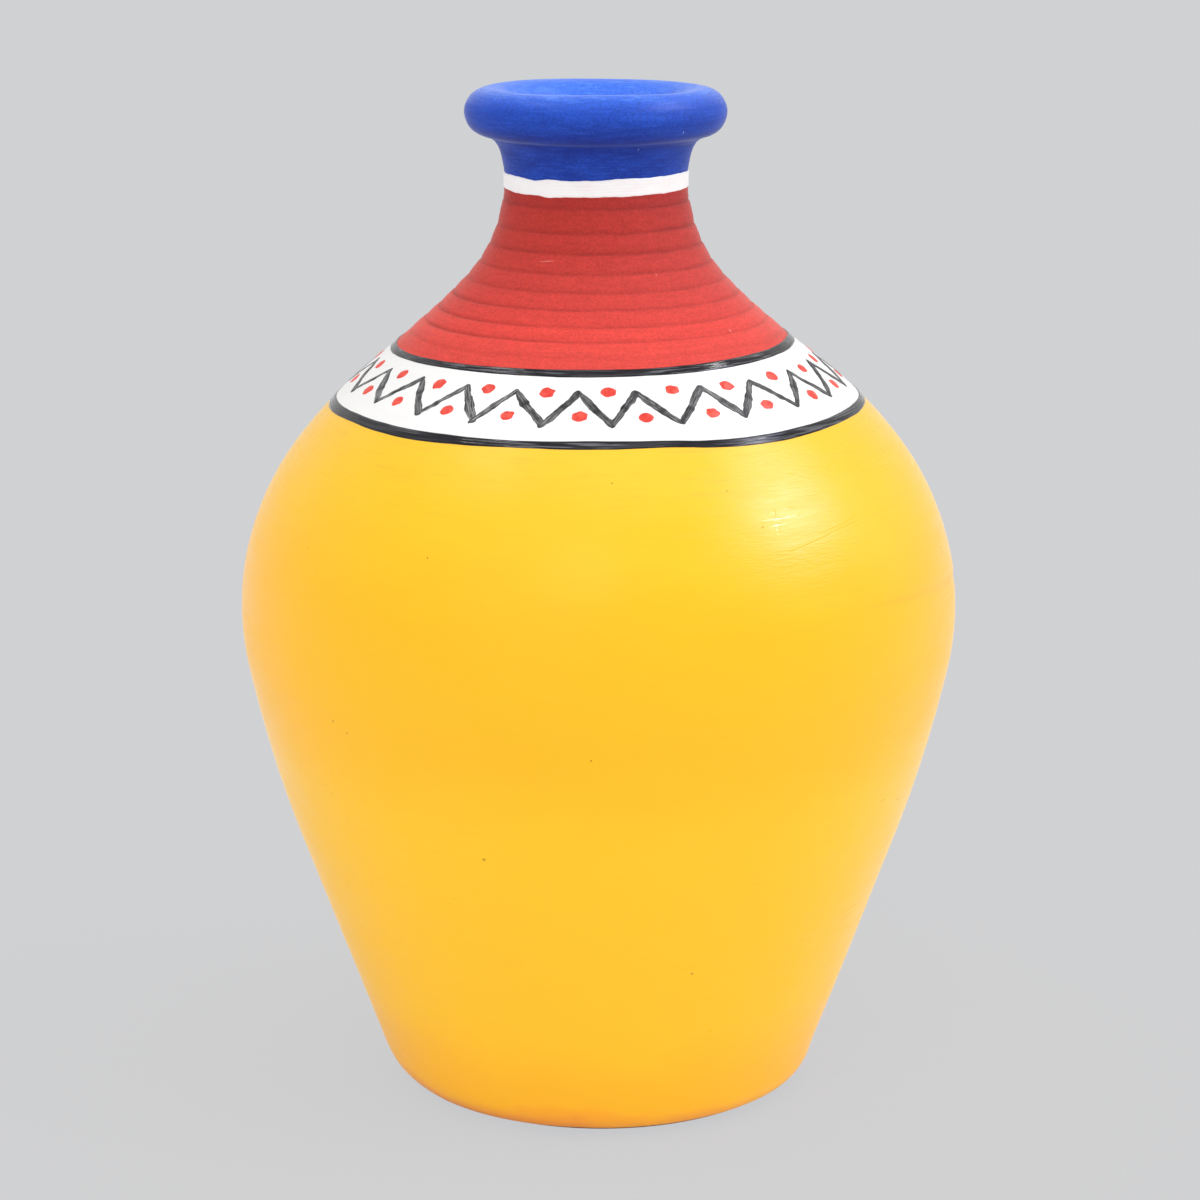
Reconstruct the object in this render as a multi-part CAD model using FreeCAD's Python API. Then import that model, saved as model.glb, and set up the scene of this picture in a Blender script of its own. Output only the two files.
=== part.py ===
import FreeCAD, Part
import math
import os

# A wheel-thrown earthenware pot, painted by hand.  One fired clay vessel carries
# base coats in four zones (yellow body, white shoulder band, red neck, blue lip)
# and, brushed over those, two black lines, a white neck ring, a zigzag and two
# rows of dots.  Lengths are in mm, angles in degrees.  Z is the axis that the pot
# was turned about, its flat wire-cut base stands on z = 0, and its front faces -Y.

# ---- the thrown shape: outside of the clay, from the edge of the base to the mouth ----
BASE_RADIUS = 35.5         # flat underside
FOOT_BEND = 9.2            # rounded edge that turns up into the wall
WALL_LEAN = 19.7           # the lower wall leans outwards from upright
WALL_RUN = 49.2            # its straight stretch
BELLY_EASE = 256.0         # a slow bend starts the belly
BELLY_EASE_TURN = 8.3
BELLY_BEND = 54.8          # the full round of the belly
BELLY_TURN = 48.3
SHOULDER_BEND = 87.6       # a flatter bend over the shoulder
SHOULDER_TURN = 13.8
SHOULDER_RUN = 14.4        # a straight cone under the upper black line
NECK_EASE = 93.8           # a hollow sweep, slow at first
NECK_EASE_TURN = 8.1
NECK_SWEEP = 28.9          # then tight, until the neck stands upright
LIP_COVE = 19.4            # the neck opens again under the lip
LIP_COVE_TURN = 24.0
LIP_SEAM = 1.3             # small inner corner where the rolled lip begins
LIP_UNDERSIDE = 1.5        # length of the lip's underside
LIP_UNDERSIDE_RISE = 10.0  # which rises this much from level
LIP_ROLL = 4.4             # thick rolled edge, which rounds over into the throat

# ---- inside of the vessel ----
WALL = 4.2                 # thickness of the thrown wall
FLOOR = 7.0                # thickness of the bottom
FLOOR_CORNER = 9.0         # sloping corner between floor and wall
INSIDE_FACET_TURN = 13.0   # the unseen inside is made of straight facets
THROAT_REACH = 1.5         # the straight throat ends this far below the neck's waist
THROAT_FACET = 6.0         # and the last facet of the inside starts this far below it

# ---- paint ----
COAT = 0.3                 # base coats
MARK = 0.25                # what is brushed over them
PAINT_FOOT = 1.5           # height where the yellow ends, with bare clay below it
LOWER_LINE = (140.5, 141.8)
UPPER_LINE = (152.1, 153.4)
NECK_RING = (183.4, 186.7)

# ---- throwing rings, the marks of the potter's finger, in the red slip of the neck ----
FIRST_GROOVE = 155.0       # height of the lowest groove
RING_COUNT = 8
RING_PITCH = 4.07          # along the surface
GROOVE_FILM = 0.18         # slip left in a groove
RIDGE_FILM = 0.5           # and on the round ridge between two grooves

# ---- zigzag and dots on the shoulder band ----
ZIGZAG_PEAKS = 22
FIRST_PEAK = -4.4          # angle from the front, towards +X
PEAK_HEIGHT = 149.9        # middle of the stroke
VALLEY_HEIGHT = 144.5
STROKE = 1.35              # width of the brush stroke
UPPER_DOT_HEIGHT = 150.0
LOWER_DOT_HEIGHT = 145.4
DOT_LENGTH = 2.9
DOT_WIDTH = 1.9
DOT_SLANT = 25.0           # the dabs lean like handwriting
DOT_SIDES = 6

AXIS_FOOT = FreeCAD.Vector(0, 0, 0)
UP = FreeCAD.Vector(0, 0, 1)
NIP = 1e-6                 # two lengths closer than this are one


# ---- the outline, walked stretch by stretch ----

def step(stretch, travelled):
    """Radius, height and heading after travelling some way along one stretch."""
    radius, height, heading, length, turn = stretch
    if turn == 0:
        return (radius + travelled * math.cos(heading),
                height + travelled * math.sin(heading), heading)
    bend = length / turn
    later = heading + travelled / bend
    return (radius + bend * (math.sin(later) - math.sin(heading)),
            height - bend * (math.cos(later) - math.cos(heading)), later)


def walk(here, moves):
    """Stretches (radius, height, heading, length, turn) from a place and its moves.

    A move is a bend's radius and its turn, or a straight length and 0.  Headings
    are measured from level, outwards, and a negative turn makes a hollow.
    """
    path = []
    for size, degrees in moves:
        turn = math.radians(degrees)
        path.append(here + (size * abs(turn) if turn else size, turn))
        here = step(path[-1], path[-1][3])
    return path, here


def clay_outline():
    """The vessel's outside: up the wall, over the lip and down into the throat."""
    to_wall = 90 - WALL_LEAN
    to_neck = to_wall + BELLY_EASE_TURN + BELLY_TURN + SHOULDER_TURN - NECK_EASE_TURN
    body, neck = walk((BASE_RADIUS, 0.0, 0.0), [
        (FOOT_BEND, to_wall),
        (WALL_RUN, 0),
        (BELLY_EASE, BELLY_EASE_TURN),
        (BELLY_BEND, BELLY_TURN),
        (SHOULDER_BEND, SHOULDER_TURN),
        (SHOULDER_RUN, 0),
        (NECK_EASE, -NECK_EASE_TURN),
        (NECK_SWEEP, 90 - to_neck),
    ])
    lip, crest = walk(neck, [
        (LIP_COVE, -LIP_COVE_TURN),
        (LIP_SEAM, LIP_COVE_TURN + LIP_UNDERSIDE_RISE - 90),
        (LIP_UNDERSIDE, 0),
        (LIP_ROLL, 90 - LIP_UNDERSIDE_RISE),
        (LIP_ROLL, 90),
    ])
    mouth_roll = crest[0] - (neck[0] - WALL)
    throat_depth = crest[1] - mouth_roll - neck[1] + THROAT_REACH
    mouth, _ = walk(crest, [(mouth_roll, 90), (throat_depth, 0)])
    return body, lip, mouth


BODY, LIP, MOUTH = clay_outline()
OUTLINE = BODY + LIP + MOUTH
STARTS = [sum(stretch[3] for stretch in OUTLINE[:i]) for i in range(len(OUTLINE) + 1)]
WALL_START = STARTS[1]
NECK = STARTS[len(BODY)]   # the neck stands upright here
THROAT_END = STARTS[-1]    # inside the mouth


def stretch_at(distance):
    """Index of the stretch that a distance along the outline falls in."""
    return max(i for i in range(len(OUTLINE)) if STARTS[i] <= distance + NIP)


def spot(distance, proud=0.0):
    """Point of the outline at a distance along it, moved outwards by proud."""
    index = stretch_at(distance)
    radius, height, heading = step(OUTLINE[index], distance - STARTS[index])
    return FreeCAD.Vector(radius + proud * math.sin(heading), 0,
                          height - proud * math.cos(heading))


def distance_at(height):
    """Distance along the outline, below the lip, where it reaches a height."""
    low, high = 0.0, NECK + LIP[0][3]
    while high - low > NIP:
        middle = (low + high) / 2
        if spot(middle).z < height:
            low = middle
        else:
            high = middle
    return low


# ---- edges of a section ----

def stops_between(start, end):
    """Both ends, and each border of two stretches between them."""
    return [start] + [s for s in STARTS if start + NIP < s < end - NIP] + [end]


def smooth_run(start, end, proud=0.0):
    """The outline between two distances: one line or arc to each stretch."""
    edges = []
    stops = stops_between(start, end)
    for a, b in zip(stops, stops[1:]):
        if OUTLINE[stretch_at(a)][4] == 0:
            edges.append(Part.makeLine(spot(a, proud), spot(b, proud)))
        else:
            middle = spot((a + b) / 2, proud)
            edges.append(Part.Arc(spot(a, proud), middle, spot(b, proud)).toShape())
    return edges


def faceted_run(start, end, proud, most_turn):
    """The same in straight facets, none of which turns by more than most_turn."""
    edges = []
    stops = stops_between(start, end)
    for a, b in zip(stops, stops[1:]):
        length, turn = OUTLINE[stretch_at(a)][3:]
        count = max(1, math.ceil(math.degrees(abs(turn)) * (b - a) / length / most_turn))
        marks = [spot(a + (b - a) * i / count, proud) for i in range(count + 1)]
        edges += [Part.makeLine(p, q) for p, q in zip(marks, marks[1:])]
    return edges


def ringed_run(start):
    """The throwing rings: a low round ridge from each groove to the next."""
    edges = []
    for i in range(RING_COUNT):
        a = start + i * RING_PITCH
        b = a + RING_PITCH
        ridge = spot((a + b) / 2, RIDGE_FILM)
        edges.append(Part.Arc(spot(a, GROOVE_FILM), ridge, spot(b, GROOVE_FILM)).toShape())
    return edges


# ---- turned solids ----

def turned(edges):
    """Solid of revolution from the edges that bound its section."""
    loop = Part.Wire(Part.sortEdges(edges)[0])
    return Part.Face(loop).revolve(AXIS_FOOT, UP, 360)


def coat(start, end, low=0.0, high=COAT, outside=None):
    """A turned film between two distances, cut off square to the surface."""
    ends = [Part.makeLine(spot(start, low), spot(start, high)),
            Part.makeLine(spot(end, low), spot(end, high))]
    if outside is None:
        outside = smooth_run(start, end, high)
    return turned(smooth_run(start, end, low) + outside + ends)


def over_coat(heights):
    """A painted ring that lies on the base coats."""
    return coat(distance_at(heights[0]), distance_at(heights[1]), COAT, COAT + MARK)


def clay_vessel():
    """The thrown pot itself: an even wall, a thick flat floor and an open mouth."""
    lean = math.radians(90 - WALL_LEAN)
    low = spot(WALL_START, -WALL)
    to_floor = (low.z - FLOOR) / math.sin(lean)
    corner_top = WALL_START + FLOOR_CORNER - to_floor
    floor_edge = FreeCAD.Vector(low.x - to_floor * math.cos(lean) - FLOOR_CORNER, 0, FLOOR)
    floor_middle = FreeCAD.Vector(0, 0, FLOOR)
    section = smooth_run(0.0, THROAT_END)
    last_facet = NECK - THROAT_FACET
    section += faceted_run(corner_top, last_facet, -WALL, INSIDE_FACET_TURN)
    section += [
        Part.makeLine(spot(last_facet, -WALL), spot(THROAT_END)),
        Part.makeLine(spot(corner_top, -WALL), floor_edge),
        Part.makeLine(floor_edge, floor_middle),
        Part.makeLine(floor_middle, AXIS_FOOT),
        Part.makeLine(AXIS_FOOT, spot(0.0)),
    ]
    return turned(section)


def red_neck_coat(start, end):
    """Red slip on the neck, with a small ledge above and below its rings."""
    rings_start = distance_at(FIRST_GROOVE)
    rings_end = rings_start + RING_COUNT * RING_PITCH
    outside = smooth_run(start, rings_start, COAT)
    outside += [
        Part.makeLine(spot(rings_start, COAT), spot(rings_start, GROOVE_FILM)),
        Part.makeLine(spot(rings_end, GROOVE_FILM), spot(rings_end, COAT)),
    ]
    outside += ringed_run(rings_start)
    outside += smooth_run(rings_end, end, COAT)
    return coat(start, end, outside=outside)


# ---- the painted pattern of the shoulder band ----

def around(radius, degrees):
    """Point at an angle from the front, positive towards +X."""
    angle = math.radians(degrees)
    return FreeCAD.Vector(radius * math.sin(angle), -radius * math.cos(angle), 0)


def zigzag_line():
    """One closed brush line, peaks and valleys in turn, lying on the white band."""
    peak = spot(distance_at(PEAK_HEIGHT), COAT)
    valley = spot(distance_at(VALLEY_HEIGHT), COAT)
    half_step = 180 / ZIGZAG_PEAKS
    rise = (valley - peak).Length
    across = (peak.x + valley.x) / 2 * math.radians(half_step)
    leg_slant = math.atan2(rise, across)
    half_stroke = STROKE / 2 / math.cos(leg_slant) * (valley.x - peak.x) / rise
    rims = []
    for side in (half_stroke, -half_stroke):
        corners = []
        for i in range(ZIGZAG_PEAKS):
            corners.append(around(peak.x + side, FIRST_PEAK + 2 * i * half_step))
            corners.append(around(valley.x + side, FIRST_PEAK + (2 * i + 1) * half_step))
        rims.append(Part.Face(Part.makePolygon(corners + corners[:1])))
    star = rims[0].cut(rims[1]).extrude(UP * (UPPER_LINE[1] + WALL))
    return over_coat((LOWER_LINE[1], UPPER_LINE[0])).common(star)


def dot_row(height, first_angle):
    """A row of small slanted dabs, one to each step of the zigzag."""
    distance = distance_at(height)
    centre = spot(distance, COAT)
    outwards = spot(distance, COAT + 1) - centre
    sideways = FreeCAD.Vector(0, 1, 0)
    uphill = sideways.cross(outwards) * -1
    corners = []
    for i in range(DOT_SIDES):
        angle = 2 * math.pi * (i + 0.5) / DOT_SIDES
        along = sideways * (DOT_LENGTH / 2 * math.cos(angle))
        corners.append(along + uphill * (DOT_WIDTH / 2 * math.sin(angle)))
    dab = Part.Face(Part.makePolygon(corners + corners[:1])).extrude(outwards * (2 * MARK))
    dab.rotate(AXIS_FOOT, outwards, DOT_SLANT)
    dab.translate(centre - outwards * (MARK / 2))
    row = []
    for i in range(ZIGZAG_PEAKS):
        turned_dab = dab.copy()
        turned_dab.rotate(AXIS_FOOT, UP, first_angle - 90 + 360 * i / ZIGZAG_PEAKS)
        row.append(turned_dab)
    return over_coat((LOWER_LINE[1], UPPER_LINE[0])).common(Part.makeCompound(row))


# ---- the nodes ----

YELLOW_FOOT = distance_at(PAINT_FOOT)
WHITE_FOOT = distance_at(sum(LOWER_LINE) / 2)
RED_FOOT = distance_at(sum(UPPER_LINE) / 2)
BLUE_FOOT = distance_at(sum(NECK_RING) / 2)

NODES = {
    "clay_vessel": clay_vessel(),
    "yellow_body_coat": coat(YELLOW_FOOT, WHITE_FOOT),
    "white_shoulder_band": coat(WHITE_FOOT, RED_FOOT),
    "red_neck_coat": red_neck_coat(RED_FOOT, BLUE_FOOT),
    "blue_lip_coat": coat(BLUE_FOOT, THROAT_END),
    "lower_black_line": over_coat(LOWER_LINE),
    "upper_black_line": over_coat(UPPER_LINE),
    "white_neck_ring": over_coat(NECK_RING),
    "zigzag_line": zigzag_line(),
    "upper_red_dots": dot_row(UPPER_DOT_HEIGHT, FIRST_PEAK + 180 / ZIGZAG_PEAKS),
    "lower_red_dots": dot_row(LOWER_DOT_HEIGHT, FIRST_PEAK),
}

os.makedirs("parts", exist_ok=True)
for name, shape in NODES.items():
    shape.exportStep(os.path.join("parts", name + ".step"))
    box = shape.optimalBoundingBox()
    print("%-20s solids %2d  valid %s  volume %9.1f mm3  z %6.2f to %6.2f  radius %5.2f" % (
        name, len(shape.Solids), shape.isValid(), shape.Volume,
        box.ZMin, box.ZMax, box.XMax))
throat = spot(THROAT_END, COAT)
print("throat radius %.3f, from z %.3f to z %.3f" % (
    throat.x, throat.z, spot(STARTS[-2], COAT).z))
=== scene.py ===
# %% [markdown]
# # Dressing a wheel-thrown, hand-painted pot
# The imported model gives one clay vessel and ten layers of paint, each as a true but
# plain solid. In this lesson each layer gets a fine mesh of its own, with the small
# unevenness that a wheel and a brush leave, and a finish made of shader nodes.
# Lengths in this script are in millimetres until they go into a mesh or a node.

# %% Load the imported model
import math

import bpy
import numpy as np
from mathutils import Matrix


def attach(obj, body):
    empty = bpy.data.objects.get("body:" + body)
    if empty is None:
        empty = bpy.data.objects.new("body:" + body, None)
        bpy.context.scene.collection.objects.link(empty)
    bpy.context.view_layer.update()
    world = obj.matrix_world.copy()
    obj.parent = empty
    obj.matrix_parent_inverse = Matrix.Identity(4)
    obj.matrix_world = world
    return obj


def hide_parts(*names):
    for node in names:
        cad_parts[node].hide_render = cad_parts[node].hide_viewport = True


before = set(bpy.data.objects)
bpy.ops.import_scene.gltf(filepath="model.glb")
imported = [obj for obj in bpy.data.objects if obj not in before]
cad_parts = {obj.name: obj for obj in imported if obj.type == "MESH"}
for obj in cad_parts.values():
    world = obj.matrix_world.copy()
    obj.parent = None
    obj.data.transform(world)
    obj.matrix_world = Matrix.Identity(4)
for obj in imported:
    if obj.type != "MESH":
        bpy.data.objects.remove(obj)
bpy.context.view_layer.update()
BODY = "root"
MM = 0.001
print("nodes:", ", ".join(sorted(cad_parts)))

# %% [markdown]
# ## The camera
# The camera comes first, because every later choice of detail depends on how large
# a millimetre is in the picture. The pot is seen from its own mouth's height and a
# little above, through a long lens, so that its sides look almost parallel.

# %% Camera
CAMERA_PLACE = (0.26, -635.5, 253.3)
CAMERA_PITCH = 13.615      # degrees below level
LENS, SENSOR = 96.46, 36.0
FARTHEST = 50000           # the floor runs far behind the pot


def make_camera():
    lens = bpy.data.cameras.new("camera")
    lens.lens = LENS
    lens.sensor_width = SENSOR
    lens.clip_end = FARTHEST * MM
    camera = bpy.data.objects.new("camera", lens)
    camera.location = [v * MM for v in CAMERA_PLACE]
    camera.rotation_euler = (math.radians(90.0 - CAMERA_PITCH), 0.0, 0.0)
    bpy.context.scene.collection.objects.link(camera)
    bpy.context.scene.camera = camera
    return camera


camera = make_camera()
print("camera at", [round(v, 4) for v in camera.location])

# %% [markdown]
# ## Small helpers for shader nodes
# A material is a chain of nodes. Writing each node out by hand takes four lines, so
# short helpers do it in one: `node` adds any node and `feed` fills its inputs, `blend`
# mixes two colours, `ease` turns a value into a soft step, and `ramp` colours a wall
# from a few named places. The shader's own inputs are filled by `feed` too.

# %% Shader helpers
def new_finish(name):
    """A material, with its tree and its principled shader."""
    finish = bpy.data.materials.new(name)
    finish.use_nodes = True
    return finish, finish.node_tree, finish.node_tree.nodes["Principled BSDF"]


def feed(tree, made, inputs):
    """Fills a node's inputs. A value may be a number, a colour or another node's socket."""
    for key, value in inputs.items():
        if isinstance(value, bpy.types.NodeSocket):
            tree.links.new(value, made.inputs[key])
        else:
            made.inputs[key].default_value = value


def node(tree, kind, inputs, **settings):
    made = tree.nodes.new("ShaderNode" + kind)
    for name, value in settings.items():
        setattr(made, name, value)
    feed(tree, made, inputs)
    return made


def rgb(*values):
    return (*values, 1.0)


def blend(tree, share, first, second, mode="MIX"):
    """Mixes two colours: share 0 is the first and 1 the second."""
    made = node(tree, "Mix", {}, data_type="RGBA", blend_type=mode)
    feed(tree, made, {0: share, 6: first, 7: second})
    return made.outputs[2]


def maths(tree, operation, first, second=0.0):
    return node(tree, "Math", {0: first, 1: second}, operation=operation).outputs[0]


def times(tree, first, second):
    return maths(tree, "MULTIPLY", first, second)


print("a colour is written with its opacity last:", rgb(0.5, 0.5, 0.5))

# %% Soft steps and ramps
def ease(tree, value, start, end, low=0.0, high=1.0):
    """A soft step: low before start, high past end."""
    return node(tree, "MapRange", {"Value": value, "From Min": start, "From Max": end,
                                   "To Min": low, "To Max": high},
                interpolation_type="SMOOTHSTEP").outputs["Result"]


def ease_up(tree, along, start, end, low=0.0, high=1.0):
    """The same up the wall, between two places in mm."""
    return ease(tree, along, start * MM, end * MM, low, high)


def ramp(tree, along, stops):
    """A colour that changes up the wall: stops are (mm, colour) pairs in rising order."""
    low, high = stops[0][0], stops[-1][0]
    share = node(tree, "MapRange", {"Value": along, "From Min": low * MM, "From Max": high * MM})
    made = node(tree, "ValToRGB", {"Fac": share.outputs["Result"]})
    made.color_ramp.interpolation = "EASE"
    elements = made.color_ramp.elements
    elements[0].color, elements[1].color = stops[0][1], stops[-1][1]
    for place, colour in stops[1:-1]:
        elements.new((place - low) / (high - low)).color = colour
    return made.outputs["Color"]


print("places up the wall go in as mm and are fed as metres:", 10 * MM)

# %% [markdown]
# ## Where the camera sees nothing but floor
# The pot stands on a plain pale floor that runs on past the picture's top edge. Rays
# from the camera see mostly an even grey, with a little of the real shading left in
# it, which keeps a soft shadow at the foot. Most of the light is even and comes from
# the room. Four broad suns give it direction, and they light the whole floor alike.
# The gleams on the paint are drawn by softboxes that only the shine can see. A broad
# bluish one at the right makes the soft glow on the shoulder, since blue is what
# yellow paint lacks, and a small one inside it makes the glow's bright middle. Weak
# ones hang in front and overhead. Two long thin ones, high behind the pot, draw fine
# glints on the black lines. So the gleams are placed without upsetting the even light.

# %% Floor and room
STUDIO_GREY = rgb(0.631, 0.638, 0.652)
FLOOR_GREY = rgb(0.608, 0.615, 0.628)      # darker, since its true shading comes on top
FLOOR_PAINT = rgb(0.78, 0.785, 0.80)
FLOOR_RADIUS, FLOOR_SIDES = 12000, 96
SHADOW_KEPT = 0.08         # how much of the floor's true shading the camera sees
ROOM_TINT, ROOM_LIGHT = rgb(1.0, 0.99, 0.98), 0.80


def make_floor():
    bpy.ops.mesh.primitive_circle_add(vertices=FLOOR_SIDES, radius=FLOOR_RADIUS * MM,
                                      fill_type="NGON")
    floor = bpy.context.object
    floor.name = "floor"
    finish, tree, shader = new_finish("pale_floor")
    feed(tree, shader, {"Base Color": FLOOR_PAINT, "Roughness": 0.9})
    even = node(tree, "Emission", {"Color": FLOOR_GREY, "Strength": 1.0})
    rays = node(tree, "LightPath", {})
    seen = times(tree, rays.outputs["Is Camera Ray"], 1.0 - SHADOW_KEPT)
    mixed = node(tree, "MixShader", {0: seen, 1: shader.outputs[0], 2: even.outputs[0]})
    feed(tree, tree.nodes["Material Output"], {"Surface": mixed.outputs[0]})
    floor.data.materials.append(finish)


def light_room():
    world = bpy.data.worlds.new("studio")
    bpy.context.scene.world = world
    world.use_nodes = True
    tree = world.node_tree
    rays = node(tree, "LightPath", {})
    seen = maths(tree, "MAXIMUM", rays.outputs["Is Camera Ray"],
                 rays.outputs["Is Transmission Ray"])
    lit = node(tree, "Background", {"Color": ROOM_TINT, "Strength": ROOM_LIGHT})
    grey = node(tree, "Background", {"Color": STUDIO_GREY, "Strength": 1.0})
    mixed = node(tree, "MixShader", {0: seen, 1: lit.outputs[0], 2: grey.outputs[0]})
    feed(tree, tree.nodes["World Output"], {"Surface": mixed.outputs[0]})


make_floor()
light_room()
print("floor of %.0f m radius" % (FLOOR_RADIUS * MM))

# %% Lamps
LAMP_DISTANCE = 1500
AIM_HEIGHT = 110


def hang(name, lamp, around, rise):
    """Points a lamp at the pot: around is degrees from the front towards +X, rise above level."""
    holder = bpy.data.objects.new(name, lamp)
    turn, lift = math.radians(around), math.radians(rise)
    flat = LAMP_DISTANCE * math.cos(lift)
    holder.location = (flat * math.sin(turn) * MM, -flat * math.cos(turn) * MM,
                       (AIM_HEIGHT + LAMP_DISTANCE * math.sin(lift)) * MM)
    holder.rotation_euler = (math.radians(90 - rise), 0.0, turn)
    bpy.context.scene.collection.objects.link(holder)
    print("lamp", name, "at", [round(v, 2) for v in holder.location])
    return holder


def broad_sun(name, around, rise, share, spread):
    """A sun that adds share to the light on a surface that faces it."""
    lamp = bpy.data.lights.new(name, "SUN")
    lamp.energy = share * math.pi
    lamp.angle = math.radians(spread)
    hang(name, lamp, around, rise).visible_glossy = False


def softbox(name, around, rise, width, height, glow, tint=(1.0, 1.0, 1.0)):
    """A flat lamp for the shine alone, glow times as bright as white paper."""
    lamp = bpy.data.lights.new(name, "AREA")
    lamp.shape = "RECTANGLE"
    lamp.color = tint
    lamp.size, lamp.size_y = width * MM, height * MM
    lamp.energy = glow * math.pi * lamp.size * lamp.size_y
    hang(name, lamp, around, rise).visible_diffuse = False


broad_sun("front_sun", around=-24, rise=24, share=0.22, spread=50)
broad_sun("right_sun", around=77, rise=29, share=0.275, spread=40)
broad_sun("rim_sun", around=112, rise=8, share=0.10, spread=25)
broad_sun("top_sun", around=5, rise=78, share=0.14, spread=60)
softbox("right_softbox", around=82, rise=39, width=660, height=560, glow=9.5,
        tint=(0.68, 0.70, 1.0))
softbox("right_spot", around=74, rise=36, width=250, height=170, glow=17.0)
softbox("front_softbox", around=-3, rise=33, width=380, height=300, glow=1.8)
softbox("top_softbox", around=20, rise=72, width=800, height=500, glow=1.0)
softbox("back_right_spot", around=112, rise=55, width=700, height=60, glow=24.0)
softbox("back_left_spot", around=-88, rise=64, width=800, height=50, glow=19.0)

# %% [markdown]
# ## The thrown outline
# A potter's outline is a chain of easy curves. It is walked here from the edge of the
# base up the wall, round the lip and down into the throat, one straight or one arc at
# a time. Every layer is later placed by two numbers: how far along this outline it
# lies, and how far round the pot. That keeps the layers nested, as paint is on clay.

# %% The outline as a chain of moves
BASE_RADIUS = 35.5
WALL = 4.2
THROAT_REACH = 1.5
# (radius, degrees) of each arc, with a minus where it turns right; a straight is (length, 0)
FOOT_MOVES = [(9.2, 70.3), (49.2, 0), (256.0, 8.3), (54.8, 48.3), (87.6, 13.8),
              (14.4, 0), (93.8, -8.1), (28.9, -42.6)]
LIP_MOVES = [(19.4, -24.0), (1.3, -56.0), (1.5, 0), (4.4, 80.0), (4.4, 90.0)]


def travel(radius, height, heading, bend, distance):
    """Where an arc of curvature bend has got to after a distance; 0 is a straight."""
    middle = heading + bend * distance / 2
    chord = distance * np.sinc(bend * distance / (2 * np.pi))
    return (radius + chord * np.cos(middle), height + chord * np.sin(middle),
            heading + bend * distance)


def walk(here, moves):
    """Rows of radius, height, heading, bend and length, one for each move."""
    rows = []
    for size, degrees in moves:
        turn = math.radians(degrees)
        length = abs(turn) * size if turn else size
        rows.append((*here, turn / length, length))
        here = tuple(float(v) for v in travel(*here, turn / length, length))
    return rows, here


def whole_outline():
    rise, waist = walk((BASE_RADIUS, 0.0, 0.0), FOOT_MOVES)
    lip, crest = walk(waist, LIP_MOVES)
    roll = crest[0] - (waist[0] - WALL)
    throat = crest[1] - roll - waist[1] + THROAT_REACH
    mouth, _ = walk(crest, [(roll, 90.0), (throat, 0)])
    return np.array(rise + lip + mouth), sum(row[4] for row in rise)


STRETCHES, WAIST = whole_outline()
STARTS = np.concatenate([[0.0], np.cumsum(STRETCHES[:, 4])])
OUTLINE_END = STARTS[-1]
print("outline %.1f mm long, waist of the neck at %.1f mm" % (OUTLINE_END, WAIST))

# %% [markdown]
# ## What the hand leaves
# No thrown pot is truly round. A few slow waves, each under a tenth of a millimetre
# high, run round it and up it, and the finger leaves faint ripples. The neck also
# leans a little to one side, as necks that were pulled by hand do. One function gives
# this unevenness for all layers, so that none of them comes through another. All that
# is random comes from a numbered seed, so the pot comes out the same every time.

# %% Unevenness of the wall
# (height, turns round the pot, turn per mm along, start) of each wave
HAND_WAVES = [(0.055, 2, 0.021, 0.4), (0.045, 3, -0.034, 2.1), (0.03, 5, 0.06, 4.0),
              (0.03, 1, 0.11, 1.2), (0.02, 4, -0.16, 5.1)]
RIPPLE_HEIGHT = 0.012
RIPPLE_PITCH = 6.3
STILL_FOOT = 12.0          # the base stays flat, and the waves grow above it
NECK_SWAY = -0.60          # the neck was pulled up a little to the left of the belly
NECK_LEANS = (138, 168)    # between these heights
FOOT_SWAY = 0.75           # and the base was cut a little to the right of it
FOOT_LEANS = (8, 0)


def soft_step(value, start, end):
    share = np.clip((value - start) / (end - start), 0, 1)
    return share * share * (3 - 2 * share)


def axis_sway(height):
    """How far the middle of the pot lies towards +X at a height, in mm."""
    return NECK_SWAY * soft_step(height, *NECK_LEANS) + FOOT_SWAY * soft_step(height, *FOOT_LEANS)


def unevenness(along, around):
    """How far the wall stands out of true, in mm."""
    wave = sum(size * np.cos(turns * around + pitch * along + start)
               for size, turns, pitch, start in HAND_WAVES)
    phase = 2 * np.pi * along / RIPPLE_PITCH + 0.6 * np.sin(2 * around + 0.02 * along)
    return (wave + RIPPLE_HEIGHT * np.cos(phase)) * soft_step(along, 0, STILL_FOOT)


print("the wall stands out of true by up to %.2f mm" % (
    RIPPLE_HEIGHT + sum(wave[0] for wave in HAND_WAVES)))

# %% Places on the pot
BELLY = 97.6               # along the outline, where the pot is widest


def on_pot(along, around, proud=0.0):
    """Points in metres, proud mm outside the clay. around is in radians from the front."""
    along, around, proud = np.broadcast_arrays(
        np.asarray(along, float), np.asarray(around, float), np.asarray(proud, float))
    held = np.clip(along, 0.0, OUTLINE_END - 1e-6)
    stretch = np.searchsorted(STARTS, held, side="right") - 1
    radius, height, heading, bend = np.moveaxis(STRETCHES[stretch, :4], -1, 0)
    radius, height, heading = travel(radius, height, heading, bend, held - STARTS[stretch])
    out = proud + unevenness(held, around)
    radius = radius + out * np.sin(heading)
    height = height - out * np.cos(heading)
    return np.stack([radius * np.sin(around) + axis_sway(height), -radius * np.cos(around),
                     height], -1) * MM


def radius_at(along):
    """Radius at the front, where the sway does not change it."""
    return -float(on_pot(along, 0.0)[1]) / MM


def all_round(columns):
    return np.linspace(0, 2 * np.pi, columns, endpoint=False) - np.pi


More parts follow.
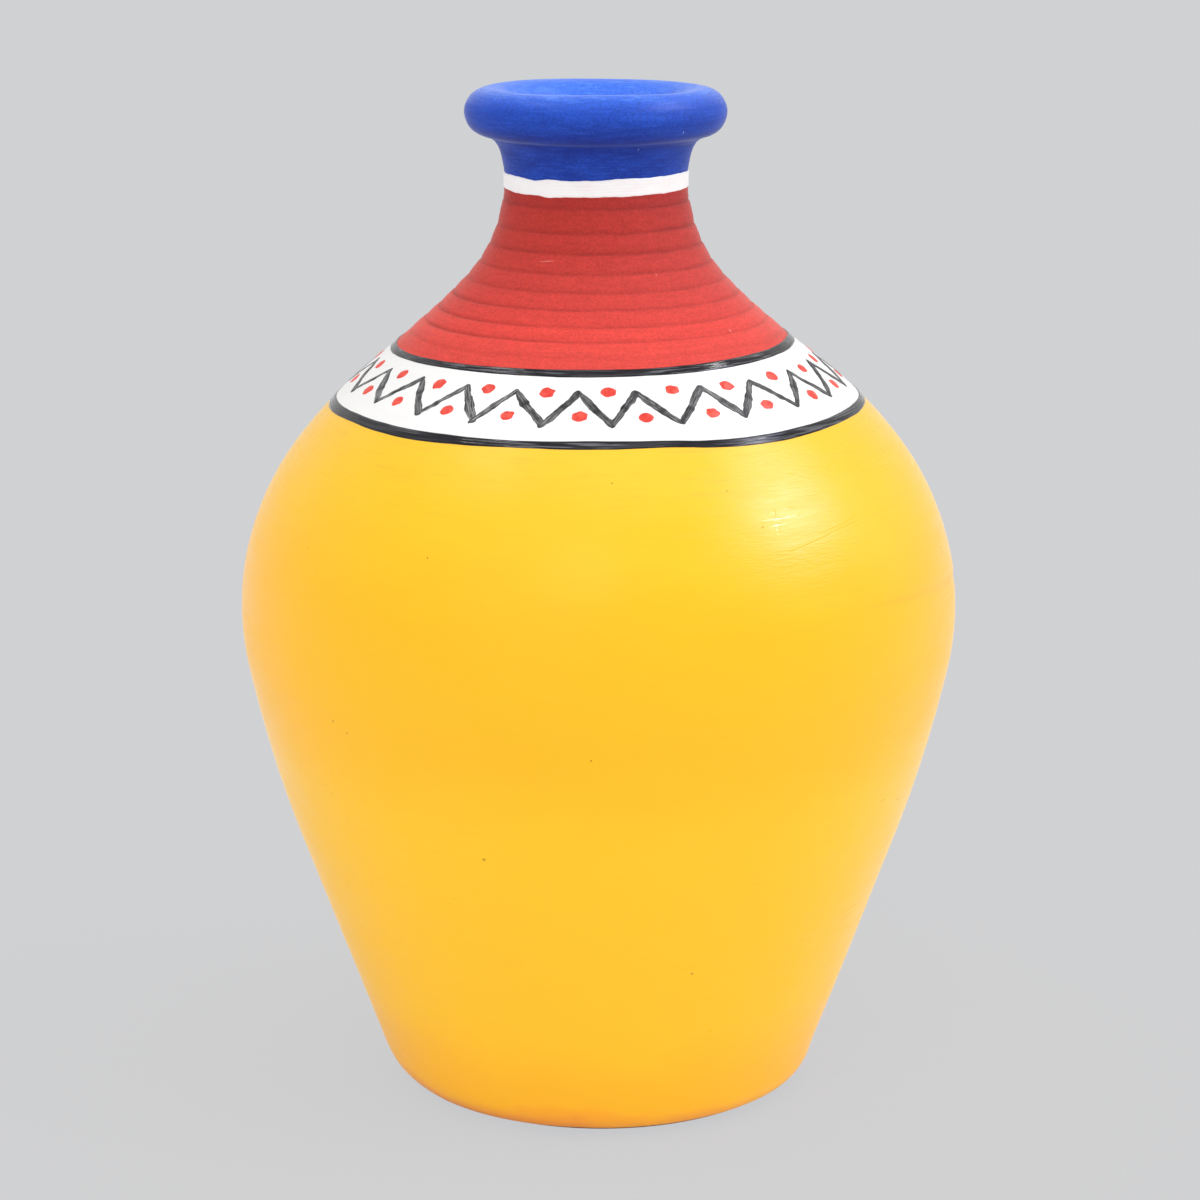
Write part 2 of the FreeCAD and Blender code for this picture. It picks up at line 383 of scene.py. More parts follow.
def wander(seed, around, size, waves=(1, 2, 3, 5, 8, 13, 21)):
    """A closed wavy line round the pot, for edges that a brush drew."""
    draw = np.random.default_rng(seed)
    total = np.zeros_like(around)
    for turns in waves:
        total += np.cos(turns * around + draw.uniform(0, 2 * np.pi)) / turns ** 0.5
    return size * total / len(waves) ** 0.5


print("radius at the belly %.2f mm" % radius_at(BELLY))

# %% [markdown]
# ## From points to meshes
# A coat of paint is a thin closed ring. Its section is a loop: across the outside,
# over a rounded edge, and back along the clay. Sweeping that loop round the pot gives
# a grid that closes on itself both ways, so there is no open edge anywhere. Each point
# also keeps its place on an unrolled pot, round and along, which later lets brush
# marks follow the wheel instead of cutting straight through space. A short stroke of
# its own, which doesn't follow the wheel, keeps each point's place in the stroke too.

# %% Meshes from points
UNROLLED_RADIUS = 60.0     # one size for the whole pot, so that marks keep their length


def keep(mesh, name, kind, field, values):
    """Stores a value for each point of the mesh under a name that a finish can read."""
    mesh.attributes.new(name, kind, "POINT").data.foreach_set(
        field, np.asarray(values, np.float32).ravel())


def build_mesh(name, points, faces, wheel, tone=None, stroke=None):
    """A smooth mesh object that rides on the pot. wheel holds (along, around) for each point.

    tone, if given, is a value for each point: painted shade on the neck's rings, and how wet a
    zigzag stroke is. stroke is each point's place in its brush stroke, in mm.
    """
    mesh = bpy.data.meshes.new(name)
    mesh.from_pydata(points.reshape(-1, 3).tolist(), [], faces)
    mesh.polygons.foreach_set("use_smooth", [True] * len(mesh.polygons))
    along, around = (part.ravel() for part in wheel)
    place = np.stack([UNROLLED_RADIUS * np.sin(around), -UNROLLED_RADIUS * np.cos(around),
                      along], -1)
    keep(mesh, "wheel", "FLOAT_VECTOR", "vector", place * MM)
    if tone is not None:
        keep(mesh, "tone", "FLOAT", "value", tone)
    if stroke is not None:
        keep(mesh, "stroke", "FLOAT_VECTOR", "vector", stroke * MM)
    piece = bpy.data.objects.new(name, mesh)
    bpy.context.scene.collection.objects.link(piece)
    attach(piece, BODY)
    print("%-18s %6d points %6d faces" % (name, len(mesh.vertices), len(mesh.polygons)))
    return piece


print("marks are laid out on an unrolled pot of %.0f mm radius" % UNROLLED_RADIUS)

# %% Faces of a grid, and dressing a piece
def grid_faces(rows, columns, close_rows=False, close_columns=True):
    """Quads of a grid. Its columns close round the pot, and its rows too, only if asked."""
    row, column = np.meshgrid(np.arange(rows if close_rows else rows - 1),
                              np.arange(columns if close_columns else columns - 1), indexing="ij")
    beside = (column + 1) % columns
    above = (row + 1) % rows
    return np.stack([row * columns + column, row * columns + beside, above * columns + beside,
                     above * columns + column], -1).reshape(-1, 4)


def dress(piece, node_name, finish):
    """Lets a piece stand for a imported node, and gives it its finish."""
    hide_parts(node_name)
    piece.data.materials.append(finish)
    print(piece.name, "stands for", node_name, "in", finish.name)


print("a grid of 3 by 4 that closes one way has", len(grid_faces(3, 4)), "faces")

# %% Films of paint
EDGE_STEPS = 6             # rows of points over a rounded edge


def bristle_ridges(along, height, pitch, sway):
    """Low ridges that the bristles left round the pot, pitch mm apart."""
    return height * np.cos(2 * np.pi * along / pitch + sway)


def across_steps(width, step, edge):
    """Shares of a film's width from 0 to 1, close together near its rounded edges."""
    fine = edge * (1 - np.cos(np.linspace(0, np.pi / 2, EDGE_STEPS)))
    middle = np.linspace(edge, width - edge, max(2, round((width - 2 * edge) / step)) + 1)
    return np.concatenate([fine[:-1], middle, width - fine[::-1][1:]]) / width


def rounded(share, width, edge):
    """Height of a film's section across its width: 0 at its edges, 1 once inside them."""
    inside = np.clip(np.minimum(share, 1 - share) * width / edge, 0, 1)
    return np.sqrt(inside * (2 - inside))


def film(name, low, high, columns, step, under_step, edge, height, bed=0.0, tone=None):
    """A closed ring of paint between two edges: numbers, or functions of the place around.

    step and under_step are the mesh's steps up the wall, outside and against the clay. edge
    is how far in its rounded edges reach, height(along, around) is its thickness, and bed is
    how far above the clay it lies.
    """
    around = all_round(columns)
    low, high = ((line(around) if callable(line) else line) + 0 * around for line in (low, high))
    width = float(np.mean(high - low))
    share = across_steps(width, step, edge)[:, None]
    along = low + (high - low) * share
    top = bed + height(along, around) * rounded(share, width, edge)
    back = np.linspace(1, 0, max(3, round(width / under_step)) + 1)[1:-1, None]
    under = low + (high - low) * back
    all_along = np.concatenate([along, under])
    all_around = np.broadcast_to(around, all_along.shape)
    proud = np.concatenate([top, np.full(under.shape, bed)])
    return build_mesh(name, on_pot(all_along, all_around, proud),
                      grid_faces(len(all_along), columns, close_rows=True).tolist(),
                      (all_along, all_around), tone(all_along, all_around) if tone else None)


print("a line 2 mm wide gets", len(across_steps(2.0, 0.12, 0.45)), "points across")

# %% [markdown]
# ## Brush marks that follow the wheel
# The pot was painted while it turned, so every streak runs round it. Noise that is
# stretched along the unrolled direction gives such streaks. `streaks` takes their
# real size in millimetres, round the pot and up the wall. Grit has no direction, so
# plain noise in the pot's own space gives it.

# %% Streaks and grit
def attribute(tree, name, output="Vector"):
    """What build_mesh kept for each point."""
    return node(tree, "Attribute", {}, attribute_name=name).outputs[output]


def solid_place(tree):
    return node(tree, "TexCoord", {}).outputs["Object"]


def up_part(tree, place):
    return node(tree, "SeparateXYZ", {0: place}).outputs["Z"]


def noise(tree, place, scale, detail=2.0, rough=0.5):
    """Even noise, with about scale spots to the metre."""
    return node(tree, "TexNoise", {"Vector": place, "Scale": scale, "Detail": detail,
                                   "Roughness": rough}).outputs["Fac"]


def streaks(tree, place, long, thick, detail=2.0, rough=0.55, shift=0.0):
    """Noise whose spots are long mm round the pot and thick mm up the wall."""
    laid = node(tree, "Mapping", {"Vector": place, "Location": (shift, shift, shift),
                                  "Scale": (1 / (long * MM), 1 / (long * MM),
                                            1 / (thick * MM))})
    return noise(tree, laid.outputs[0], 1.0, detail, rough)


def relief(tree, shader, height, depth, strength, below=None):
    """Feeds a height in 0 to 1 to the shader's normal, as a relief of depth mm."""
    bump = node(tree, "Bump", {"Height": height, "Strength": strength, "Distance": depth * MM})
    if below is not None:
        feed(tree, bump, {"Normal": below})
    feed(tree, shader, {"Normal": bump.outputs[0]})
    return bump.outputs[0]


print("a streak 10 mm long turns %.0f degrees round the pot" % math.degrees(10 / UNROLLED_RADIUS))

# %% [markdown]
# Pits, scratches and specks of dust are too fine for the mesh and have no pattern, so
# each is listed with its place. The wall is laid out as a flat sheet, on which a pit is a
# small disc and a scratch is a thin line between two places that fades at its ends.

# %% Small marks
def laid_flat(tree, place):
    """The wall as a flat sheet: X runs round from the front and Z runs along it."""
    parts = node(tree, "SeparateXYZ", {0: place})
    forward = times(tree, parts.outputs["Y"], -1.0)
    turn = maths(tree, "ARCTAN2", parts.outputs["X"], forward)
    across = times(tree, turn, UNROLLED_RADIUS * MM)
    return node(tree, "CombineXYZ", {"X": across, "Z": parts.outputs["Z"]}).outputs[0]


def flat_spot(along, degrees):
    """A place on that sheet."""
    return (UNROLLED_RADIUS * math.radians(degrees) * MM, 0.0, along * MM)


def vector_maths(tree, operation, inputs, output="Value"):
    return node(tree, "VectorMath", inputs, operation=operation).outputs[output]


def spot_mark(tree, sheet, along, degrees, size):
    """1 on a small spot, 0 outside it."""
    gap = vector_maths(tree, "DISTANCE", {0: sheet, 1: flat_spot(along, degrees)})
    return ease(tree, gap, size * MM, 0.5 * size * MM)


def scratch_mark(tree, sheet, start, end, width):
    """1 on a thin straight scratch between two (along, degrees) places."""
    first, last = (np.array(flat_spot(*spot)) for spot in (start, end))
    way = last - first
    from_start = vector_maths(tree, "SUBTRACT", {0: sheet, 1: tuple(first)}, "Vector")
    run = vector_maths(tree, "DOT_PRODUCT", {0: from_start, 1: tuple(way / way.dot(way))})
    held = node(tree, "Clamp", {"Value": run}).outputs[0]
    nearest = vector_maths(tree, "SCALE", {0: tuple(way), "Scale": held}, "Vector")
    gap = vector_maths(tree, "DISTANCE", {0: from_start, 1: nearest})
    fade = maths(tree, "SINE", times(tree, held, math.pi))
    return times(tree, ease(tree, gap, width * MM, 0.2 * width * MM), fade)


def strongest(tree, marks):
    total = marks[0]
    for mark in marks[1:]:
        total = maths(tree, "MAXIMUM", total, mark)
    return total


def scratches_on(tree, sheet, scratches):
    return strongest(tree, [scratch_mark(tree, sheet, *scratch) for scratch in scratches])


print("a quarter turn is %.1f mm of the flat sheet" % (flat_spot(0, 90)[0] / MM))

# %% [markdown]
# ## The clay itself
# Under the paint is one fired vessel. Almost all of it is hidden: only a thin line at
# the foot, the underside and the dark inside show. The underside was cut from the
# wheel with a wire, which leaves shallow arcs like those in a shell, and the inside
# keeps the spiral of the potter's fingers. The whole vessel is one closed surface
# that runs from the middle of the underside, up the outside, over the lip and down
# the inside to the middle of the floor.

# %% Reliefs of the clay
WIRE_CENTRE = (52.0, -30.0)                # the hand that drew the wire was beside the pot
WIRE_PITCH, WIRE_DEPTH = 2.6, 0.22
WIRE_RIM, WIRE_FADE = 1.5, 4.0             # a smooth rim, and how soon the arcs reach it
FINGER_PITCH, FINGER_DEPTH = 8.5, 0.35
SWIRL_PITCH, SWIRL_DEPTH = 7.0, 0.25


def wire_cut(x, y):
    """Relief of the underside: arcs round a point beside the pot, fading at the rim."""
    reach = np.hypot(x - WIRE_CENTRE[0], y - WIRE_CENTRE[1])
    arcs = 0.5 + 0.5 * np.cos(2 * np.pi * reach / WIRE_PITCH + 0.8 * np.sin(reach / 7.0))
    rim = np.clip((BASE_RADIUS - WIRE_RIM - np.hypot(x, y)) / WIRE_FADE, 0, 1)
    return WIRE_DEPTH * arcs * rim


def finger_spiral(depth_down, around):
    """Relief of the inside: one groove that winds down with the wheel's turns."""
    turns = depth_down / FINGER_PITCH + around / (2 * np.pi)
    return FINGER_DEPTH * (np.abs(np.sin(np.pi * turns)) - 0.6)


def floor_swirl(reach, around):
    return SWIRL_DEPTH * np.cos(2 * np.pi * (reach / SWIRL_PITCH + around / (2 * np.pi)))


print("the wire leaves arcs %.1f mm apart" % WIRE_PITCH)

# %% Clay vessel
FLOOR, FLOOR_CORNER = 7.0, 9.0             # height of the inner floor, and of its curve
CLAY_COLUMNS = 240
POLE = 0.4                 # radius of the tiny face that closes each end of the surface
UNDERSIDE_ROWS, FLOOR_ROWS, INSIDE_ROWS = 40, 24, 96
# (from, to, rows) up the outside: close together at the foot and over the lip
OUTSIDE_ROWS = [(0.0, 16.0, 22), (18.5, WAIST - 1, 78), (WAIST, OUTLINE_END, 60)]
INSIDE_FROM, INSIDE_TO = WAIST - 6.0, 13.8
FLOOR_REACH = 30           # how far the inner floor carries the count along the surface on


def underside(around):
    reach = np.linspace(POLE, BASE_RADIUS - 0.01, UNDERSIDE_ROWS)[:, None]
    x, y = reach * np.sin(around), -reach * np.cos(around)
    return np.stack([x + FOOT_SWAY, y, wire_cut(x, y)], -1) * MM, -reach


def outside(around):
    along = np.concatenate([np.linspace(*rows) for rows in OUTSIDE_ROWS])[:, None]
    return on_pot(along, around), along


def inside(around):
    down = np.linspace(INSIDE_FROM, INSIDE_TO, INSIDE_ROWS)[:, None]
    points = on_pot(down, around, -WALL - finger_spiral(WAIST - down, around))
    return points, OUTLINE_END + WAIST - down


def inner_floor(around, wall):
    """Rings from the wall's lowest row to the middle of the floor."""
    start, start_height = np.hypot(wall[:, 0], wall[:, 1]) / MM, wall[:, 2] / MM
    share = np.linspace(1, 0, FLOOR_ROWS + 2)[1:-1, None]
    reach = POLE + (start - POLE) * share
    settle = np.clip((1 - share) * start / FLOOR_CORNER, 0, 1)
    height = start_height + (FLOOR - start_height) * np.sin(settle * np.pi / 2)
    height = height + floor_swirl(reach, around) * settle
    points = np.stack([reach * np.sin(around), -reach * np.cos(around), height], -1) * MM
    return points, 2 * WAIST + (1 - share) * FLOOR_REACH


def make_clay():
    around = all_round(CLAY_COLUMNS)
    parts = [underside(around), outside(around), inside(around)]
    parts.append(inner_floor(around, parts[-1][0][-1]))
    points = np.concatenate([part for part, _ in parts])
    along = np.concatenate([np.broadcast_to(place, part.shape[:2]) for part, place in parts])
    last_row = (len(along) - 1) * CLAY_COLUMNS
    faces = grid_faces(*along.shape).tolist()
    faces.append(list(range(CLAY_COLUMNS))[::-1])
    faces.append([last_row + column for column in range(CLAY_COLUMNS)])
    return build_mesh("clay_body", points, faces, (along, np.broadcast_to(around, along.shape)))


clay = make_clay()

# %% [markdown]
# Fired earthenware is matt and never one colour: iron spots, darker patches from the
# kiln and a fine grit. Three noises of different size give these, and the finest one
# also gives the surface its tooth.

# %% Clay finish
CLAY_DARK, CLAY_PALE = rgb(0.30, 0.135, 0.07), rgb(0.40, 0.20, 0.11)
IRON_SPOT, SANDY_GRIT = rgb(0.07, 0.035, 0.025), rgb(0.52, 0.31, 0.19)
# the clay is darker towards the bottom
DARKER_FOOT_CLAY = rgb(0.17, 0.060, 0.026)


def clay_finish():
    finish, tree, shader = new_finish("fired_clay")
    place = solid_place(tree)
    patches = noise(tree, place, 45.0, 3.0)
    grit = noise(tree, place, 2600.0)
    spots = node(tree, "TexVoronoi", {"Vector": place, "Scale": 520.0}).outputs["Distance"]
    # the clay is darker towards the bottom
    darker_low = ease_up(tree, up_part(tree, place), 12, 2, 0.0, 0.6)
    colour = blend(tree, ease(tree, patches, 0.35, 0.65), CLAY_DARK, CLAY_PALE)
    colour = blend(tree, ease(tree, spots, 0.22, 0.08, 0.0, 0.7), colour, IRON_SPOT)
    colour = blend(tree, ease(tree, grit, 0.35, 0.7, 0.0, 0.35), colour, SANDY_GRIT)
    colour = blend(tree, darker_low, colour, DARKER_FOOT_CLAY)
    feed(tree, shader, {"Base Color": colour, "Roughness": 0.92})
    relief(tree, shader, grit, 0.12, 0.7)
    return finish


dress(clay, "clay_vessel", clay_finish())

# %% [markdown]
# ## The yellow body
# Three quarters of the pot is one coat of satin yellow. It looks even from afar, but
# it was brushed on while the pot turned: under the black line the streaks are plain,
# and dust left small pits. Its colour up the wall holds painted light and shade: it is
# palest on the shoulder, which faces up, and deepest at the belly and at the foot. At
# the right a low ridge in the clay shows through, with a line of painted shade along
# its foot, and hairline scratches cross the shoulder. The ridge is real geometry,
# because it breaks the outline. The scratches and pits are too fine for the mesh, so
# they are drawn on a flat sheet of the wall.

# %% Yellow coat
COAT = 0.3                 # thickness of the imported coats
RIDGE_ROOM = 0.02          # kept free, so that the bristles' ridges don't stand out of them
LOWER_BORDER = 156.3
YELLOW_FOOT = 5.3
RIDGE_FROM, RIDGE_TO = (120.0, math.radians(45)), (114.6, math.radians(104))
RIDGE_HEIGHT, RIDGE_GROOVE = 0.22, 0.16


def clay_ridge(along, around):
    """A faint step that climbs down to the right over the belly."""
    share = (around - RIDGE_FROM[1]) / (RIDGE_TO[1] - RIDGE_FROM[1])
    centre = RIDGE_FROM[0] + (RIDGE_TO[0] - RIDGE_FROM[0]) * share + 0.8 * np.sin(5 * share)
    strength = np.clip(share * 3, 0, 1) * np.clip((1 - share) * 3, 0, 1)
    gap = along - centre
    return strength * (RIDGE_HEIGHT * np.exp(-np.abs(gap) / 3) * soft_step(gap, -0.6, 1.2)
                       - RIDGE_GROOVE * np.exp(-((gap + 0.6) / 1.3) ** 2))


def yellow_height(along, around):
    brush = bristle_ridges(along, 0.012, 1.9, 2 * np.sin(3 * around))
    return COAT - RIDGE_ROOM + brush + clay_ridge(along, around)


def foot_edge(around):
    """The paint stops just short of the table, and leaves most clay bare at the right front."""
    return YELLOW_FOOT + 0.7 * np.cos(around - 0.25) + wander(5, around, 0.35)


yellow = film("yellow_body", foot_edge, LOWER_BORDER, columns=400, step=1.15, under_step=3.5,
              edge=0.8, height=yellow_height)

# %% Colours and marks of the yellow
# painted light and shade up the wall: palest on the shoulder, which faces up, and deepest orange
# at the foot
YELLOW_WITH_PAINTED_LIGHT = [(6, rgb(0.90, 0.330, 0.026)), (9, rgb(0.95, 0.410, 0.014)),
                      (13, rgb(0.97, 0.480, 0.009)), (32, rgb(0.98, 0.537, 0.008)),
                      (72, rgb(0.98, 0.547, 0.006)), (97, rgb(0.98, 0.502, 0.002)),
                      (118, rgb(0.98, 0.496, 0.001)), (143, rgb(0.98, 0.548, 0.006)),
                      (157, rgb(0.98, 0.562, 0.012))]
YELLOW_DRIFT = 24          # clouds of colour reach this many mm up or down
DEEP_STREAK, PALE_STREAK = rgb(0.93, 0.44, 0.010), rgb(1.0, 0.62, 0.06)
PIT_BROWN, RIDGE_SHADE_YELLOW = rgb(0.34, 0.15, 0.01), rgb(0.90, 0.42, 0.004)
# (along, degrees, size)
PITS = [(72.9, -19.3, 0.36), (45.8, 18.6, 0.34), (95.6, -1.1, 0.2), (137.7, 28.0, 0.2),
        (145.5, 23.2, 0.17), (148.2, 2.4, 0.22), (131.8, -28.0, 0.2), (97.5, -45.0, 0.24),
        (95.7, -42.2, 0.2), (88.0, 152.0, 0.33), (126.0, -140.0, 0.25), (52.0, 115.0, 0.3)]
# a hairline scratch that bends over the shoulder, and a finer one close above it:
# (start, end, width)
SCRATCHES = [((132.2, 31.5), (135.4, 45.0), 0.24), ((134.0, 38.4), (136.6, 53.2), 0.24),
             ((135.5, 45.5), (137.1, 68.0), 0.24), ((134.6, 37.5), (137.3, 52.5), 0.2)]
SCRATCH_DEPTH = 0.3        # against a pit
WORKED_PATCH = (141.0, 34.0, 25.0)         # here the last strokes left the paint rougher
# painted shade: a darker line along the foot of the clay's ridge
RIDGE_PAINTED_SHADE = [((119.7, 44.0), (118.1, 67.0), 0.9), ((119.0, 57.0), (115.4, 92.0), 1.1)]
# where the brush was lifted, smoother paint shines white: (start, end, width)
LIFTS = [((138.6, 27.0), (139.3, 38.0), 0.5), ((142.8, 31.2), (134.8, 30.6), 0.5),
         ((137.6, 28.5), (137.9, 33.0), 0.35), ((140.6, 32.5), (140.9, 36.5), 0.3)]
print(len(PITS), "pits,", len(SCRATCHES), "scratches and", len(LIFTS), "lifts of the brush")


# %% Yellow finish
def yellow_finish():
    finish, tree, shader = new_finish("satin_yellow")
    place = attribute(tree, "wheel")
    sheet = laid_flat(tree, place)
    along = up_part(tree, place)
    clouds = streaks(tree, place, 38, 17, 3.0)
    drawn = streaks(tree, place, 10, 0.9, 3.0, 0.65)
    fine = streaks(tree, place, 5, 0.4, shift=3.0)
    short = streaks(tree, place, 2.2, 0.35, 3.0, 0.6, shift=9.0)
    pits = strongest(tree, [spot_mark(tree, sheet, *pit) for pit in PITS])
    shaded = scratches_on(tree, sheet, RIDGE_PAINTED_SHADE)
    scratches = times(tree, SCRATCH_DEPTH, scratches_on(tree, sheet, SCRATCHES))
    lifts = times(tree, ease(tree, fine, 0.42, 0.50), scratches_on(tree, sheet, LIFTS))
    drift = times(tree, maths(tree, "SUBTRACT", clouds, 0.5), YELLOW_DRIFT * MM)
    # the colour up the wall, with its painted light and shade
    colour = ramp(tree, maths(tree, "ADD", along, drift), YELLOW_WITH_PAINTED_LIGHT)
    near_line = ease_up(tree, along, 128, 156, 0.10, 0.38)
    colour = blend(tree, times(tree, ease(tree, drawn, 0.5, 0.72), near_line), colour,
                   DEEP_STREAK)
    colour = blend(tree, ease(tree, fine, 0.55, 0.8, 0.0, 0.13), colour, PALE_STREAK)
    colour = blend(tree, times(tree, pits, 0.6), colour, PIT_BROWN)
    # painted shade along the foot of the clay's ridge
    colour = blend(tree, times(tree, shaded, 0.4), colour, RIDGE_SHADE_YELLOW)
    rough = maths(tree, "ADD", ease(tree, drawn, 0.3, 0.7, 0.30, 0.37),
                  ease(tree, clouds, 0.35, 0.65, -0.03, 0.04))
    rough = maths(tree, "SUBTRACT", rough, times(tree, lifts, 0.24))
    feed(tree, shader, {"Base Color": colour, "Roughness": rough, "Specular IOR Level": 0.40,
                        "Sheen Weight": 0.24, "Sheen Roughness": 0.18})
    worked = spot_mark(tree, sheet, *WORKED_PATCH)
    brushed = times(tree, short, maths(tree, "ADD", 0.25, worked))
    brushed = times(tree, brushed, maths(tree, "SUBTRACT", 1.0, lifts))
    dents = maths(tree, "SUBTRACT", 1.0, maths(tree, "MAXIMUM", pits, scratches))
    below = relief(tree, shader, drawn, 0.02, 0.5)
    below = relief(tree, shader, brushed, 0.05, 0.9, below)
    relief(tree, shader, dents, 0.16, 0.9, below)
    return finish


dress(yellow, "yellow_body_coat", yellow_finish())

# %% [markdown]
# ## The white shoulder band
# White goes on thicker than the yellow, in two or three turns of the wheel, and keeps
# faint ridges. It is the ground for the whole pattern. The same white, laid thinner
# over the red, makes the ring on the neck later, so its finish takes a tint.

# %% White band
UPPER_BORDER = 173.6
BORDER_TILT = 1.15         # this border climbs to the right
WHITE, THIN_WHITE = rgb(0.90, 0.897, 0.89), rgb(0.86, 0.86, 0.86)


def upper_border(around):
    return UPPER_BORDER + BORDER_TILT * np.sin(around)


def white_height(along, around):
    return COAT - RIDGE_ROOM + bristle_ridges(along, 0.012, 2.3, 1.5 * np.sin(2 * around))


def white_finish(name, tint, tinted_share):
    finish, tree, shader = new_finish(name)
    place = attribute(tree, "wheel")
    broad = streaks(tree, place, 16, 2.2)
    drawn = streaks(tree, place, 14, 0.45, shift=7.0)
    colour = blend(tree, ease(tree, broad, 0.4, 0.75, 0.0, tinted_share), WHITE, tint)
    feed(tree, shader, {"Base Color": colour, "Roughness": ease(tree, drawn, 0.3, 0.7, 0.28, 0.4)})
    relief(tree, shader, drawn, 0.03, 0.6)
    return finish


white_band = film("white_band", LOWER_BORDER, upper_border, columns=300, step=0.6,
                  under_step=1.8, edge=0.6, height=white_height)
dress(white_band, "white_shoulder_band",
      white_finish("satin_white", THIN_WHITE, 0.5))

# %% [markdown]
# ## The red neck and its throwing rings
# The potter left the rings of the last pull on the neck, and a thin matt slip covers
# them. Each groove is narrow and each ridge is round, about four millimetres apart,
# and no groove is equally deep all the way round. They are modelled, since they break
# the outline; the grit of the slip is too fine for a mesh and comes from the finish.

# %% Red neck
NECK_BORDER = 214.3        # where the red gives way to the blue
# place of each groove, and its depth at the left and at the right, from the lowest up
GROOVES = [(177.25, 0.06, 0.06), (181.0, 0.20, 0.09), (184.7, 0.20, 0.10), (188.8, 0.20, 0.12),
           (192.8, 0.12, 0.11), (197.0, 0.14, 0.17), (201.1, 0.13, 0.18), (205.2, 0.12, 0.18),
           (210.0, 0.10, 0.20)]
GROOVE_BELOW, GROOVE_ABOVE = 0.30, 0.50    # how far each groove reaches from its middle
HOLLOW_DEPTH, HOLLOW_REACH = 0.075, 1.15
RINGS_START, RINGS_END = (176.0, 177.6), (209.6, 211.6)    # the slip thickens, and thins again
THIN_SLIP, RING_SLIP = 0.27, 0.2           # its thickness, and what the rings add
SLIP_LEAST, SLIP_MOST = 0.06, 0.5


def groove_lines(along, around):
    """Depth of the narrow lines, and of the soft hollows round them, in mm."""
    line = np.zeros(np.broadcast_shapes(along.shape, around.shape))
    hollow = np.zeros_like(line)
    for index, (place, left, right) in enumerate(GROOVES):
        gap = along - place - wander(40 + index, around, 0.10, (1, 2, 3, 5, 7))
        depth = (left + right) / 2 + (right - left) / 2 * np.sin(around)
        depth = depth * np.clip(1 + wander(60 + index, around, 0.45, (3, 5, 9, 14, 23)), 0.25, 2)
        reach = np.where(gap < 0, GROOVE_BELOW, GROOVE_ABOVE)
        line = line + depth * np.exp(-np.abs(gap / reach) ** 1.4)
        hollow = hollow + HOLLOW_DEPTH * np.exp(-(gap / HOLLOW_REACH) ** 2)
    return line, hollow


def red_height(along, around):
    """Thick over the rings, and thin under the line and the ring that end it."""
    thick = soft_step(along, *RINGS_START) * (1 - soft_step(along, *RINGS_END))
    skin = THIN_SLIP + RING_SLIP * thick + bristle_ridges(along, 0.015, 1.33, 3 * np.sin(around))
    return np.clip(skin - sum(groove_lines(along, around)), SLIP_LEAST, SLIP_MOST)


def groove_painted_shade(along, around):
    """Painted shade of the rings: darker in each groove, and lightest just under the next."""
    line, _ = groove_lines(along, around)
    places = [place for place, _, _ in GROOVES]
    climb = np.interp(along, places, range(len(places))) % 1.0
    return (0.95 + 0.11 * climb) * (1 - 0.30 * np.clip(line / 0.2, 0, 1))


red_neck = film("red_neck", upper_border, NECK_BORDER, columns=360, step=0.22, under_step=1.4,
                edge=0.6, height=red_height, tone=groove_painted_shade)

# %% Red finish
# painted shade: the red darkens up the neck, towards the shade under the lip
RED_WITH_PAINTED_SHADE_UP_THE_NECK = [(178, rgb(0.750, 0.064, 0.048)), (183, rgb(0.745, 0.059, 0.044)),
                   (188, rgb(0.660, 0.052, 0.040)), (195, rgb(0.580, 0.046, 0.035)),
                   (203, rgb(0.490, 0.036, 0.027)), (213, rgb(0.420, 0.030, 0.024))]
CHALKY_RED, RED_SHEEN = rgb(0.85, 0.42, 0.36), rgb(1.0, 0.62, 0.56)
CHALK_SPOTS = [(196.5, 30.0, 0.3), (181.6, 50.1, 0.4)]
CHALK_SCRATCH = ((199.3, -30.0), (199.7, -21.0), 0.1)


def red_finish():
    finish, tree, shader = new_finish("matt_red_slip")
    place, solid = attribute(tree, "wheel"), solid_place(tree)
    sheet = laid_flat(tree, place)
    grit = noise(tree, solid, 2100.0, 3.0, 0.65)
    crumbs = noise(tree, solid, 760.0, 3.0, 0.6)
    specks = node(tree, "TexVoronoi", {"Vector": solid, "Scale": 300.0})
    drawn = streaks(tree, place, 12, 0.7, 3.0)
    mottle = times(tree, ease(tree, grit, 0.3, 0.7, 0.87, 1.10),
                   ease(tree, drawn, 0.3, 0.7, 0.94, 1.05))
    mottle = times(tree, mottle, ease(tree, crumbs, 0.3, 0.7, 0.97, 1.03))
    # the tone attribute here is painted shade of the rings: darker in each groove, lighter up each
    # ridge
    shade = times(tree, mottle, attribute(tree, "tone", "Fac"))
    # painted shade: the red darkens up the neck, towards the shade under the lip
    colour = blend(tree, 1.0, ramp(tree, up_part(tree, place), RED_WITH_PAINTED_SHADE_UP_THE_NECK), shade, "MULTIPLY")
    pale = times(tree, ease(tree, specks.outputs["Distance"], 0.07, 0.03),
                 ease(tree, specks.outputs["Color"], 0.86, 0.9))
    chalk = strongest(tree, [pale] + [spot_mark(tree, sheet, *spot) for spot in CHALK_SPOTS]
                      + [scratch_mark(tree, sheet, *CHALK_SCRATCH)])
    colour = blend(tree, times(tree, chalk, 0.55), colour, CHALKY_RED)
    feed(tree, shader, {"Base Color": colour, "Roughness": 0.8, "Specular IOR Level": 0.28,
                        "Sheen Weight": 0.6, "Sheen Roughness": 0.28, "Sheen Tint": RED_SHEEN})
    below = relief(tree, shader, drawn, 0.05, 0.5)
    below = relief(tree, shader, crumbs, 0.12, 0.4, below)
    relief(tree, shader, grit, 0.12, 0.7, below)
    return finish


dress(red_neck, "red_neck_coat", red_finish())

